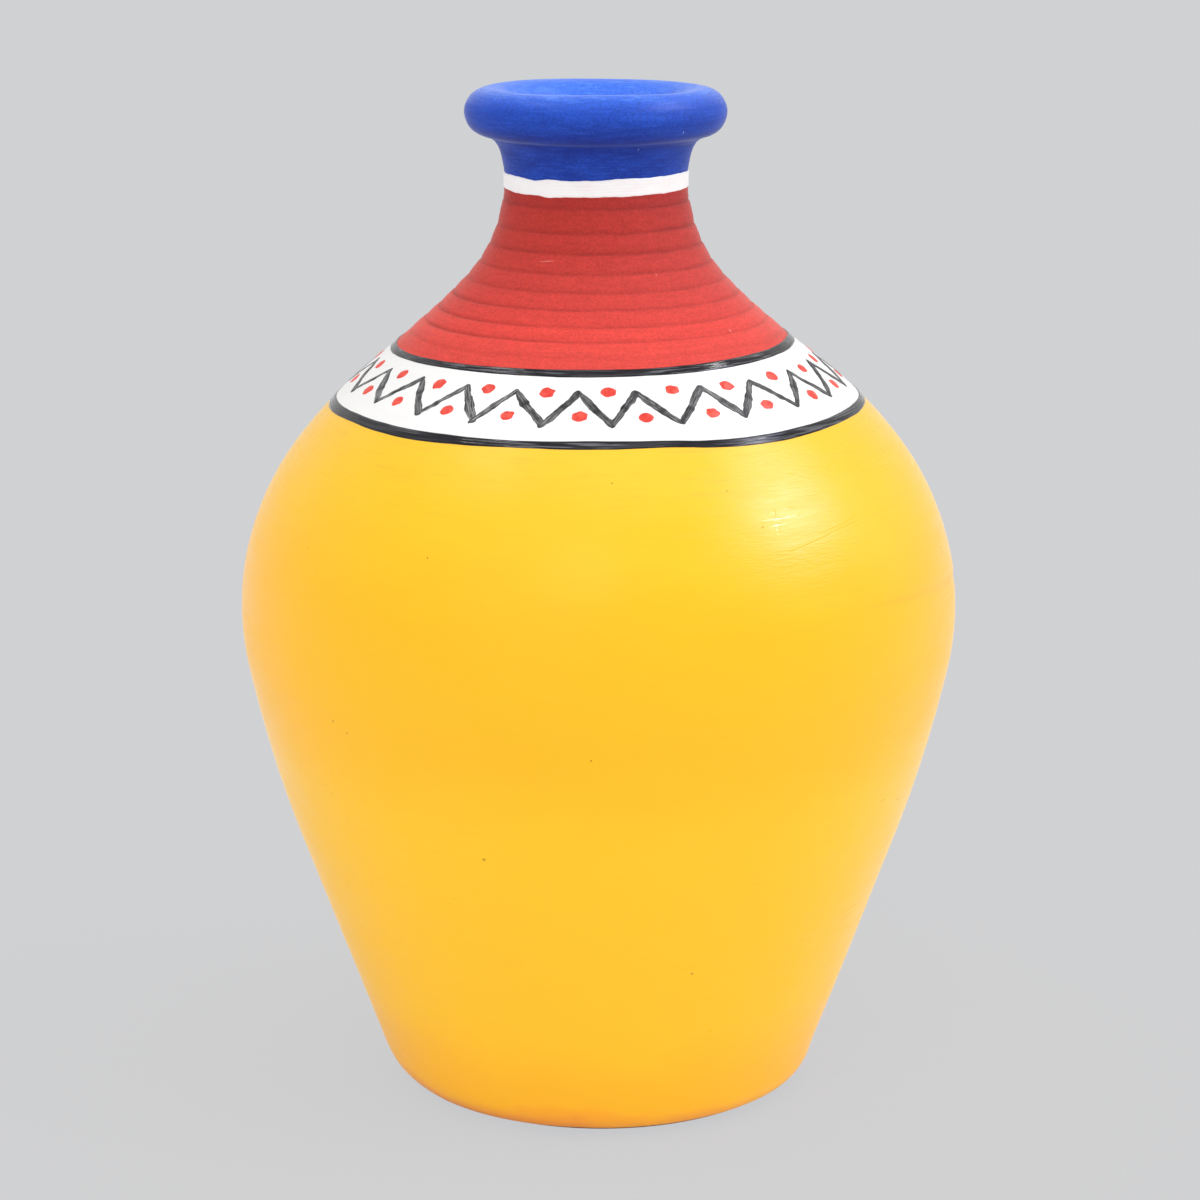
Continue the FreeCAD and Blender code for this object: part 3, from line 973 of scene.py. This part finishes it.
# %% [markdown]
# ## The blue lip
# The lip was painted with a loaded brush held still against the turning rim. The
# paint is thick, its streaks run right round the roll, and it runs down into the
# throat, where the brush let go in an uneven edge.

# %% Blue lip
CREASE = WAIST + 8.76      # where the roll meets the neck, and the paint stands thick
POOL_REACH, POOL_ROUND = 2.6, 4.5          # it rounds the crease off to this radius
THROAT_BARE = 0.9          # the outline's last stretch, which the brush did not reach
STREAK_ROOM = 0.035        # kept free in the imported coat, as its streaks are high


def blue_height(along, around):
    drag = bristle_ridges(along, 0.012, 1.15, 2.2 * np.sin(around + 0.1 * along))
    soft = bristle_ridges(along, 0.02, 3.4, 1.3 * np.sin(2 * around))
    inside_pool = np.clip(POOL_REACH - np.hypot(along - CREASE, 0.5), 0, None)
    pooled = inside_pool ** 2 / (2 * POOL_ROUND)
    return COAT - STREAK_ROOM + drag + soft + pooled


def throat_edge(around):
    """Where the brush let go inside the throat."""
    return OUTLINE_END - THROAT_BARE + wander(9, around, 0.5)


blue_lip = film("blue_lip", NECK_BORDER, throat_edge, columns=320, step=0.42, under_step=1.5,
                edge=0.6, height=blue_height)

# %% Blue finish
# painted shade and light: the neck's blues are darkened for the shade under the roll, and the
# crown's blue is lightened for the light from above
SHADED_NECK_BLUE_DARK, SHADED_NECK_BLUE = rgb(0.006, 0.035, 0.30), rgb(0.009, 0.049, 0.375)
ROLL_BLUE, LIT_CROWN_BLUE = rgb(0.017, 0.092, 0.63), rgb(0.050, 0.185, 0.88)
# the second colour on this line is a painted highlight: pale streaks for the crown's gleam
DRAWN_BLUE, CROWN_GLEAM_BLUE = rgb(0.032, 0.125, 0.66), rgb(0.085, 0.245, 0.90)
BLUE_DUST, BLUE_SHEEN = rgb(0.45, 0.6, 0.85), rgb(0.75, 0.85, 1.0)
DUST_SPOTS = [(222.0, 24.2, 0.3), (228.6, 42.1, 0.3)]


def blue_finish():
    """Dark and matt on the neck, in painted shade under the roll, brighter over the roll, and
    brightest on its crown in painted light from above.
    """
    finish, tree, shader = new_finish("satin_blue")
    place = attribute(tree, "wheel")
    along = up_part(tree, place)
    broad = streaks(tree, place, 26, 2.4)
    drawn = streaks(tree, place, 12, 0.4, 3.0, shift=2.0)
    gleam_streaks = streaks(tree, place, 13, 0.9, 3.0, shift=4.0)
    grain = noise(tree, solid_place(tree), 2300.0)
    # painted shade under the roll, rising to painted light on the crown
    colour = blend(tree, ease(tree, broad, 0.35, 0.7), SHADED_NECK_BLUE_DARK, SHADED_NECK_BLUE)
    colour = blend(tree, ease_up(tree, along, 227, 239), colour, ROLL_BLUE)
    colour = blend(tree, ease_up(tree, along, 232.6, 239.0), colour, LIT_CROWN_BLUE)
    colour = blend(tree, ease(tree, drawn, 0.45, 0.75, 0.0, 0.30), colour, DRAWN_BLUE)
    # painted highlight: pale streaks along the crown stand in for its gleam
    crown_gleam = times(tree, ease_up(tree, along, 233.5, 237.0, 0.0, 0.7),
                   ease(tree, gleam_streaks, 0.50, 0.60))
    colour = blend(tree, crown_gleam, colour, CROWN_GLEAM_BLUE)
    colour = blend(tree, 1.0, colour, ease(tree, grain, 0.3, 0.7, 0.82, 1.15), "MULTIPLY")
    sheet = laid_flat(tree, place)
    dust = strongest(tree, [spot_mark(tree, sheet, *spot) for spot in DUST_SPOTS])
    colour = blend(tree, times(tree, dust, 0.7), colour, BLUE_DUST)
    matt_neck = ease_up(tree, along, 234.5, 232.5, 0.0, 0.62)
    rough = maths(tree, "MAXIMUM", matt_neck, ease(tree, drawn, 0.3, 0.75, 0.34, 0.5))
    feed(tree, shader, {"Base Color": colour, "Roughness": rough, "Specular IOR Level": 0.22,
                        "Sheen Weight": 0.32, "Sheen Roughness": 0.25, "Sheen Tint": BLUE_SHEEN})
    below = relief(tree, shader, broad, 0.10, 0.5)
    relief(tree, shader, drawn, 0.05, 0.8, below)
    return finish


dress(blue_lip, "blue_lip_coat", blue_finish())

# %% [markdown]
# ## Brushed lines over the borders
# Two black lines and a white ring hide the places where two coats meet. A line drawn
# on a turning pot is never quite level and swells where the brush was reloaded. Both
# its edges therefore wander, each on its own, and the film is rounded like a bead. The
# bristles leave low ridges along it, and where the brush ran dry the paint is grey. On
# the black lines these grey streaks also stand in for gleams, as painted reflection.

# %% Courses of the lines
# (degrees from the front, lower edge, upper edge) where the brush changed its mind
LOWER_LINE_EDGES = [(-80, 154.75, 157.0), (-63, 155.15, 157.25), (-42, 154.65, 156.9),
                    (-18, 155.2, 156.85), (0, 155.3, 157.25), (14, 155.5, 157.1),
                    (21.5, 155.0, 156.6), (29, 154.5, 156.4), (40, 154.5, 156.5),
                    (52, 155.0, 156.9), (67, 155.5, 157.5), (80, 155.75, 157.6)]
UPPER_LINE_EDGES = [(-80, 171.5, 173.25), (-42, 172.2, 173.75), (0, 172.5, 174.5),
                    (28, 172.75, 174.75), (52, 173.35, 175.25), (80, 174.0, 176.0)]
NECK_RING_EDGES = [(-80, 212.5, 215.6), (-50, 212.2, 215.55), (-38, 212.3, 215.2),
                   (-30, 212.1, 215.65), (-18, 212.3, 215.35), (0, 212.25, 215.6),
                   (20, 212.4, 215.95), (50, 212.6, 215.9), (80, 212.6, 216.0)]
LINE_COLUMNS = 540
EASED_COLUMNS = 15         # the course is smoothed over this many columns
HAND_JITTER = (5, 9, 14, 23, 37, 58)


def drawn_edge(marks, edge, seed, sway):
    """One edge of a line all round the pot: smooth between its marks, and a little unsteady."""
    around = all_round(LINE_COLUMNS)
    places = [mark[0] for mark in marks]
    course = np.interp(np.degrees(around), places, [mark[edge] for mark in marks], period=360)
    brush = np.hanning(EASED_COLUMNS)
    course = np.convolve(np.tile(course, 3), brush / brush.sum(), "same")
    return course[LINE_COLUMNS:2 * LINE_COLUMNS] + wander(seed, around, sway, HAND_JITTER)


print("the lower line is %.2f mm wide on average" % np.mean(
    drawn_edge(LOWER_LINE_EDGES, 2, 0, 0) - drawn_edge(LOWER_LINE_EDGES, 1, 0, 0)))

# %% Lines and neck ring
MARK = 0.2
BEDDED = 0.24              # marks start a little inside the coats they lie on
STRAND_PITCH = 0.62        # the brush leaves two or three ridges side by side
STRAND_HEIGHT = 0.034


def make_line(name, marks, sway, seed):
    lower = drawn_edge(marks, 1, seed, sway)
    upper = drawn_edge(marks, 2, seed + 1, sway)

    def strands(along, around):
        """Thickness of the line: the bristles' ridges follow its course, and come and go."""
        across = along - (lower + upper) / 2
        drift = wander(seed + 2, around, 1.6, (2, 3, 7, 11))
        strength = np.clip(0.6 + wander(seed + 3, around, 0.7, (3, 5, 8, 13)), 0.1, 1)
        return MARK + STRAND_HEIGHT * strength * np.cos(2 * np.pi * across / STRAND_PITCH + drift)

    return film(name, lower, upper, columns=LINE_COLUMNS, step=0.12, under_step=1.0, edge=0.45,
                height=strands, bed=BEDDED)


lower_line = make_line("lower_line", LOWER_LINE_EDGES, 0.17, 11)
upper_line = make_line("upper_line", UPPER_LINE_EDGES, 0.15, 21)
neck_ring = make_line("neck_ring", NECK_RING_EDGES, 0.26, 31)

# %% Finish of the lines
# the grey is where the bristles parted, and partly painted reflection of the lines' gleams
LINE_BLACK, LINE_GREY_AND_GLEAM = rgb(0.010, 0.010, 0.014), rgb(0.19, 0.195, 0.215)
WHITE_OVER_RED = rgb(0.86, 0.79, 0.79)


def black_finish():
    """Black paint that the bristles parted here and there, down to grey; the grey streaks also
    stand in for gleams along the line, so they are partly painted reflection.
    """
    finish, tree, shader = new_finish("brushed_black")
    place = attribute(tree, "wheel")
    drawn = streaks(tree, place, 11, 0.28, 3.0)
    pools = streaks(tree, place, 7, 1.6, shift=5.0)
    dry_spell = streaks(tree, place, 22, 3.0, shift=8.0)
    parted_and_gleaming = times(tree, ease(tree, drawn, 0.49, 0.60, 0.0, 0.7),
                   ease(tree, dry_spell, 0.40, 0.58, 0.2, 1.0))
    feed(tree, shader, {"Base Color": blend(tree, parted_and_gleaming, LINE_BLACK, LINE_GREY_AND_GLEAM),
                        "Roughness": ease(tree, drawn, 0.3, 0.7, 0.05, 0.13),
                        "Specular IOR Level": 0.25})
    below = relief(tree, shader, pools, 0.12, 0.6)
    relief(tree, shader, drawn, 0.04, 0.6, below)
    return finish


line_black = black_finish()
dress(lower_line, "lower_black_line", line_black)
dress(upper_line, "upper_black_line", line_black)
dress(neck_ring, "white_neck_ring",
      white_finish("brushed_white", WHITE_OVER_RED, 0.45))

# %% [markdown]
# ## The zigzag, stroke by stroke
# The zigzag is not one line: the painter drew each leg with its own short stroke, from
# a peak down to a valley or back up, and neighbouring strokes overlap at the tips. So
# each leg is a closed sliver of paint that is thin at its start, full in the middle
# and blunt at its end. Most legs took two touches of the brush, which overlap in a
# dark knot. Where the brush ran dry, pale gaps run between the bristles' marks. The
# turns of the zigzag come first, listed one by one at the front and set evenly at the back.

# %% Turns of the zigzag
LEGS = 44
PEAK_ALONG, VALLEY_ALONG = 168.9, 161.0
ZIGZAG_TILT = 0.35
# where the painter set the peaks and the valleys of the front, in degrees
FRONT_PEAKS = [-85, -67.3, -50, -34.4, -20.4, -4.6, 9.7, 26.6, 42, 58.8, 75]
FRONT_VALLEYS = [-76, -59.8, -43.4, -28.3, -12.1, 3, 18.5, 34.2, 50.5, 66.3, 82]


def closed_row(front):
    """The front's places, carried on evenly round the back."""
    back = np.linspace(front[-1], front[0] + 360, LEGS // 2 - len(front) + 2)[1:-1]
    draw = np.random.default_rng(3)
    return np.concatenate([front, back + draw.uniform(-0.7, 0.7, len(back))])


def zigzag_corners():
    """(along, degrees) of each turn of the zigzag, peaks and valleys in turn."""
    draw = np.random.default_rng(8)
    corners = []
    for peak, valley in zip(closed_row(FRONT_PEAKS), closed_row(FRONT_VALLEYS)):
        lift = ZIGZAG_TILT * math.sin(math.radians(peak))
        corners.append((PEAK_ALONG + lift + draw.uniform(-0.25, 0.25), peak))
        corners.append((VALLEY_ALONG + lift + draw.uniform(-0.3, 0.3), valley))
    return corners


CORNERS = zigzag_corners()
print("first peak %.1f mm along at %.1f degrees" % CORNERS[0])

# %% [markdown]
# A stroke and a dab are small raised patches. Each is closed by an underside of its
# own, which shares the rim's points, so that no edge is open. Many such parts are then
# joined into one mesh, since the whole zigzag is one layer of paint.

# %% Raised patches
def with_underside(top):
    """A value for each point of a patch: those of the top, then the same under its inside."""
    kind = top.shape[2:]
    return np.concatenate([top.reshape(-1, *kind), top[1:-1, 1:-1].reshape(-1, *kind)])


def patch_faces(rows, columns):
    """The top's faces, and the underside's turned over, which meet at the rim."""
    below = np.arange(rows * columns).reshape(rows, columns)
    below[1:-1, 1:-1] = rows * columns + np.arange((rows - 2) * (columns - 2)).reshape(
        rows - 2, columns - 2)
    upper = grid_faces(rows, columns, close_columns=False)
    return np.concatenate([upper, below.ravel()[upper][:, ::-1]]).tolist()


def join_parts(name, parts):
    """One mesh of small closed parts, each given as faces, points, along, around and more."""
    faces, first = [], 0
    for part in parts:
        faces += [[first + corner for corner in face] for face in part[0]]
        first += len(part[1])
    points, along, around, *more = (np.concatenate(values) for values in list(zip(*parts))[1:])
    return build_mesh(name, points, faces, (along, around), *more)


print("a patch of 3 by 3 points has", len(patch_faces(3, 3)), "faces")

# %% Outline of a brush stroke
# shares of the stroke's length and of its half width, close together at its rim
STROKE_RUN = np.concatenate([[0, 0.015, 0.04, 0.08], np.linspace(0.13, 0.87, 22),
                             [0.92, 0.96, 0.985, 1]])[:, None]
STROKE_ACROSS = np.sin(np.linspace(-np.pi / 2, np.pi / 2, 9))


def stroke_halves(run, seed, full):
    """Half widths of a stroke along its run, in mm."""
    draw = np.random.default_rng(seed)
    swell = 1 + 0.16 * np.cos(2 * np.pi * run * draw.uniform(0.8, 1.6) + draw.uniform(0, 6))
    ragged = 0.04 * np.cos(2 * np.pi * run * 5 + draw.uniform(0, 6))
    start, end = draw.uniform(0.5, 0.85), draw.uniform(0.7, 1.0)
    taper = start + (1 - start) * np.clip(run / 0.35, 0, 1)
    taper = taper * (end + (1 - end) * np.clip((1 - run) / 0.25, 0, 1))
    return full / 2 * swell * taper + ragged


def stroke_sides(run, half, draw):
    """How far each point lies beside the straight way from corner to corner, in mm."""
    rounding = np.sqrt(np.clip(1 - (2 * run - 1) ** 16, 0, 1)) + 0.03
    bow = draw.uniform(-0.25, 0.25) * np.sin(np.pi * run) + 0.07 * np.sin(
        2 * np.pi * run * draw.uniform(1.5, 2.5) + draw.uniform(0, 6))
    bristles = draw.uniform(-0.06, 0.06, (2, len(run), 1))
    frayed = np.where(STROKE_ACROSS < 0, bristles[0], bristles[1]) * np.abs(STROKE_ACROSS) ** 3
    return (STROKE_ACROSS * half + frayed) * rounding + bow


print("each stroke is", len(STROKE_RUN), "by", len(STROKE_ACROSS), "points")

# %% One brush stroke
KNOTS = (0.4, 1.1)         # how dark a stroke is where its two touches of the brush overlap
KNOT_SWELL = 0.12          # and how much wider, in mm for each unit of that darkness
STROKE_HEIGHT, STROKE_SPARE = 0.12, 0.05   # the least height, and what chance may add
STROKE_SEED_GAP = 10.0     # mm between strokes in the bristles' noise, so that no two are alike


def one_stroke(start, end, full, seed, early, paint):
    """A leg of the zigzag from one (along, degrees) corner to the next, for join_parts.

    It starts early mm before its first corner, and paint is how full the brush is, 0 to 1.
    """
    draw = np.random.default_rng(seed)
    run = STROKE_RUN
    to_mm = math.radians(1) * radius_at((start[0] + end[0]) / 2)
    turn = (end[1] - start[1] + 180) % 360 - 180
    way = np.array([turn * to_mm, end[0] - start[0]])
    length = np.hypot(*way)
    way = way / length
    late = draw.uniform(0.3, 0.7)
    forward = -early + (length + early + late) * run
    knot = draw.uniform(*KNOTS) * np.exp(-((run - draw.uniform(0.35, 0.65)) / 0.05) ** 2)
    aside = stroke_sides(run, stroke_halves(run, seed, full) + KNOT_SWELL * knot, draw)
    along = start[0] + way[1] * forward + way[0] * aside
    around = np.radians(start[1] + (way[0] * forward - way[1] * aside) / to_mm)
    crown = np.sqrt(np.clip(1 - STROKE_ACROSS ** 4, 0, 1))
    ends = np.clip(np.minimum(run, 1 - run) / 0.04, 0, 1) ** 0.5
    proud = BEDDED + (STROKE_HEIGHT + STROKE_SPARE * draw.uniform()) * crown * ends
    pooled = 0.6 * np.clip(1 - np.minimum(run, 1 - run) / 0.12, 0, 1) + knot
    tone = np.clip(paint * 0.75 + pooled + 0.35 * STROKE_ACROSS ** 6, 0, 1)
    place = np.stack(np.broadcast_arrays(forward, STROKE_SEED_GAP * seed, aside), -1)
    under = np.full(proud[1:-1, 1:-1].size, BEDDED)
    all_along, all_around = with_underside(along), with_underside(around)
    points = on_pot(all_along, all_around, np.concatenate([proud.ravel(), under]))
    return (patch_faces(*proud.shape), points, all_along, all_around, with_underside(tone),
            with_underside(place))


trial = one_stroke(CORNERS[0], CORNERS[1], full=1.5, seed=0, early=0.0, paint=0.5)
print("the first leg has", len(trial[1]), "points and", len(trial[0]), "faces")

# %% The whole zigzag
DOWN_WIDTH, DOWN_CHANGE = 1.62, -0.28      # strokes down to the right are full at the left
UP_WIDTH, UP_CHANGE = 1.40, 0.36           # and strokes up to the right are full at the right
EARLY = 0.4                # mm that a stroke starts before its corner
TAIL = 0.75                # at the left an up stroke starts this much further below its valley
WATERY_LEG = 7


def make_zigzag():
    draw = np.random.default_rng(12)
    strokes = []
    for leg in range(LEGS):
        start, end = CORNERS[leg], CORNERS[(leg + 1) % LEGS]
        to_right = math.sin(math.radians(start[1]))
        rises = leg % 2 == 1
        full = UP_WIDTH + UP_CHANGE * to_right if rises else DOWN_WIDTH + DOWN_CHANGE * to_right
        early = EARLY + (TAIL * draw.uniform(0.3, 1) if rises and to_right < 0 else 0)
        full = full * draw.uniform(0.9, 1.12)
        paint = 0.0 if leg == WATERY_LEG else 0.5 + 0.3 * to_right + draw.uniform(-0.3, 0.3)
        strokes.append(one_stroke(start, end, full, 100 + leg, early, paint))
    return join_parts("zigzag", strokes)


zigzag = make_zigzag()

# %% Zigzag finish
STROKE_BLACK, THIN_BLACK = rgb(0.010, 0.010, 0.012), rgb(0.11, 0.112, 0.115)
DRY_GREY = rgb(0.36, 0.36, 0.365)


def zigzag_finish():
    """Black where the brush was wet, thinner where it was not, and grey between bristles."""
    finish, tree, shader = new_finish("watered_black")
    wet = attribute(tree, "tone", "Fac")
    blots = streaks(tree, attribute(tree, "wheel"), 1.7, 1.7)
    bristle = streaks(tree, attribute(tree, "stroke"), 3.5, 0.18, 3.0)
    dry = maths(tree, "SUBTRACT", 1.0, times(tree, wet, 0.9))
    thin = times(tree, ease(tree, blots, 0.38, 0.62, 0.15, 1.0), dry)
    gaps = times(tree, ease(tree, bristle, 0.50, 0.57), dry)
    colour = blend(tree, thin, STROKE_BLACK, THIN_BLACK)
    colour = blend(tree, times(tree, gaps, 0.85), colour, DRY_GREY)
    feed(tree, shader, {"Base Color": colour, "Roughness": 0.4, "Specular IOR Level": 0.3})
    relief(tree, shader, bristle, 0.05, 0.6)
    return finish


dress(zigzag, "zigzag_line", zigzag_finish())

# %% [markdown]
# ## Two rows of red dabs
# A dab is a single touch of a loaded round brush. It lands as a small oval, domed by
# its own surface tension, with an uneven rim, and leans the way the hand leans. Each
# is a low dome built from rings of points, with a flat underside on the white.

# %% Red dabs
UPPER_DAB_ALONG, UPPER_TILT = 168.6, 0.5
LOWER_DAB_ALONG, LOWER_TILT = 162.7, 0.3
FRONT_UPPER_DABS = [-77.5, -59.6, -43.3, -28.1, -12.5, 2.7, 18.9, 34.2, 50.7, 66.7, 82.1]
FRONT_LOWER_DABS = [-85.9, -68, -52.4, -36.1, -20.6, -4.1, 10.7, 26.5, 41.9, 59.2, 74.9]
# least and most of each, in mm
DAB_HALF_LENGTH, DAB_HALF_WIDTH, DAB_HEIGHT = (1.35, 1.6), (1.12, 1.3), (0.17, 0.21)
DAB_LEAN, LEAN_TO_SIDE = 8, -24            # degrees: at the front, and more or less at the sides
DAB_RIM = np.linspace(0, 2 * np.pi, 28, endpoint=False)
DAB_RINGS = np.array([1.0, 0.94, 0.82, 0.6, 0.3])[:, None]


def dab_faces():
    """One flat face underneath, quads between the rings, and a fan at the top."""
    count, last = len(DAB_RIM), (len(DAB_RINGS) - 1) * len(DAB_RIM)
    faces = [list(range(count))[::-1]] + grid_faces(len(DAB_RINGS), count).tolist()
    return faces + [[last + i, last + (i + 1) % count, last + count] for i in range(count)]


DAB_FACES = dab_faces()


def one_dab(along, degrees, seed):
    """A low dome on the white, for join_parts."""
    draw = np.random.default_rng(seed)
    long, wide = draw.uniform(*DAB_HALF_LENGTH), draw.uniform(*DAB_HALF_WIDTH)
    side = math.sin(math.radians(degrees))
    lean = math.radians(LEAN_TO_SIDE * side + DAB_LEAN + draw.uniform(-9, 9))
    rim = 1 + sum(draw.uniform(-0.05, 0.05) * np.cos(turns * DAB_RIM + draw.uniform(0, 6))
                  for turns in (2, 3, 4, 5, 6))
    x, y = long * rim * np.cos(DAB_RIM), wide * rim * np.sin(DAB_RIM)
    x, y = x * math.cos(lean) - y * math.sin(lean), x * math.sin(lean) + y * math.cos(lean)
    to_mm = math.radians(1) * radius_at(along)
    high = draw.uniform(*DAB_HEIGHT)
    dome = np.broadcast_to(np.sqrt(1 - DAB_RINGS ** 3), (len(DAB_RINGS), len(DAB_RIM)))
    all_along = np.append(along + y * DAB_RINGS, along)
    all_around = np.radians(np.append(degrees + x * DAB_RINGS / to_mm, degrees))
    points = on_pot(all_along, all_around, BEDDED + high * np.append(dome, 1.0))
    return DAB_FACES, points, all_along, all_around


def make_dabs(name, front, along, tilt, seed):
    dabs = []
    for index, degrees in enumerate(closed_row(front)):
        draw = np.random.default_rng(seed + index)
        lift = tilt * math.sin(math.radians(degrees)) + draw.uniform(-0.3, 0.3)
        dabs.append(one_dab(along + lift, degrees, seed + 100 + index))
    return join_parts(name, dabs)


upper_dabs = make_dabs("upper_dabs", FRONT_UPPER_DABS, UPPER_DAB_ALONG, UPPER_TILT, 200)
lower_dabs = make_dabs("lower_dabs", FRONT_LOWER_DABS, LOWER_DAB_ALONG, LOWER_TILT, 400)

# %% Finish of the dabs
DAB_RED, POOLED_RED = rgb(0.72, 0.040, 0.026), rgb(0.90, 0.100, 0.060)


def dab_finish():
    finish, tree, shader = new_finish("red_dabs")
    pools = streaks(tree, attribute(tree, "wheel"), 1.1, 1.1)
    colour = blend(tree, ease(tree, pools, 0.35, 0.7), DAB_RED, POOLED_RED)
    feed(tree, shader, {"Base Color": colour, "Roughness": ease(tree, pools, 0.3, 0.7, 0.3, 0.42),
                        "Specular IOR Level": 0.3})
    relief(tree, shader, pools, 0.05, 0.4)
    return finish


red_dab = dab_finish()
dress(upper_dabs, "upper_red_dots", red_dab)
dress(lower_dabs, "lower_red_dots", red_dab)

# %% [markdown]
# ## View settings
# Standard view keeps colours as they are written.

# %% Finish
bpy.context.scene.view_settings.view_transform = "Standard"
